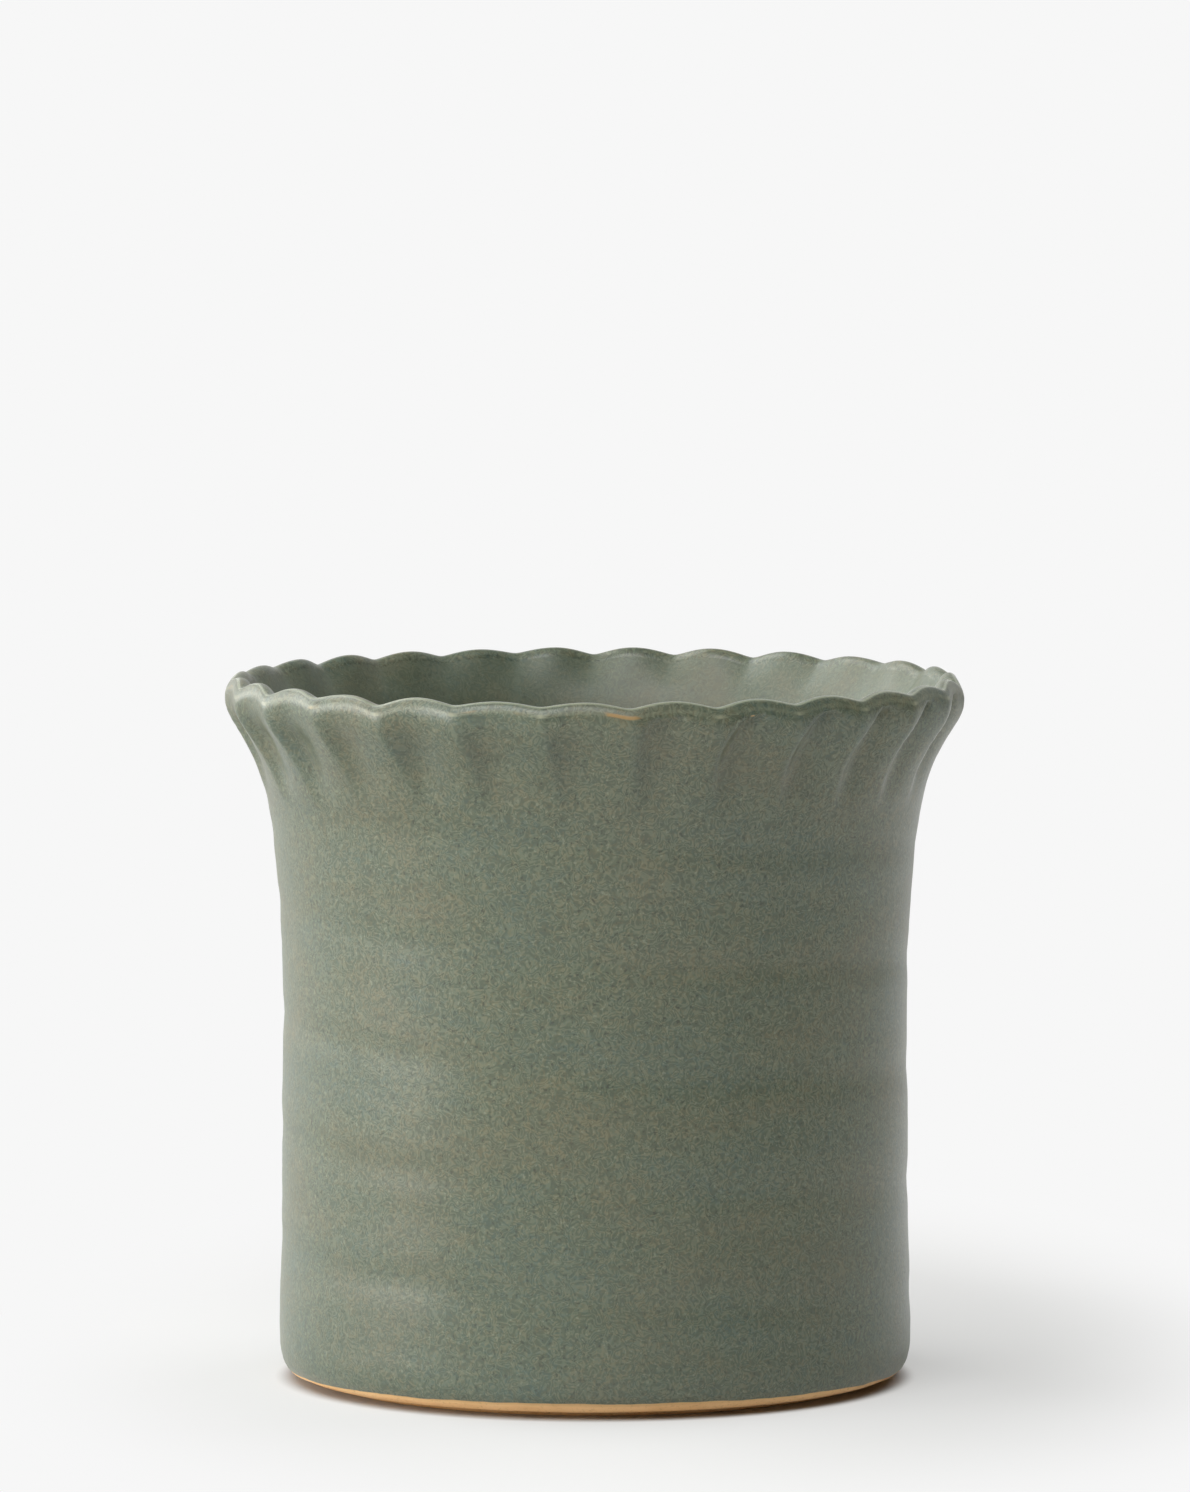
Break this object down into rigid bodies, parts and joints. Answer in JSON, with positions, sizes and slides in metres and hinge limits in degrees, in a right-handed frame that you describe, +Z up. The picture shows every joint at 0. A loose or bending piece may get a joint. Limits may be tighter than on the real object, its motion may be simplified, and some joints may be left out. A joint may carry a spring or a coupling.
{
  "type": "brush holder pot",
  "caption": "Wheel-thrown stoneware pot with a flaring, finger-fluted rim, a glazed outside, a glazed liner and a bare clay foot; holds brushes or pens upright.",
  "frame": {"origin": "middle of the plane that the foot stands on, on the wheel's axis", "axes": "+Z up along the wheel's axis; -Y is the side seen from the front and +X is to its right; the pot has no front of its own"},
  "size_m": [0.138, 0.1379, 0.1321],
  "materials": {
    "bare_clay": "unglazed buff stoneware, matt and slightly gritty, toasted orange where it meets the glaze",
    "outer_glaze": "satin grey-green glaze, finely mottled with olive, tan and teal, breaking to amber on sharp edges",
    "inner_glaze": "the same grey-green glaze poured as a liner, a little smoother and glossier"
  },
  "bodies": {
    "root": {"clay_body": "bare_clay", "outer_glaze": "outer_glaze", "inner_glaze": "inner_glaze"}
  },
  "joints": []
}
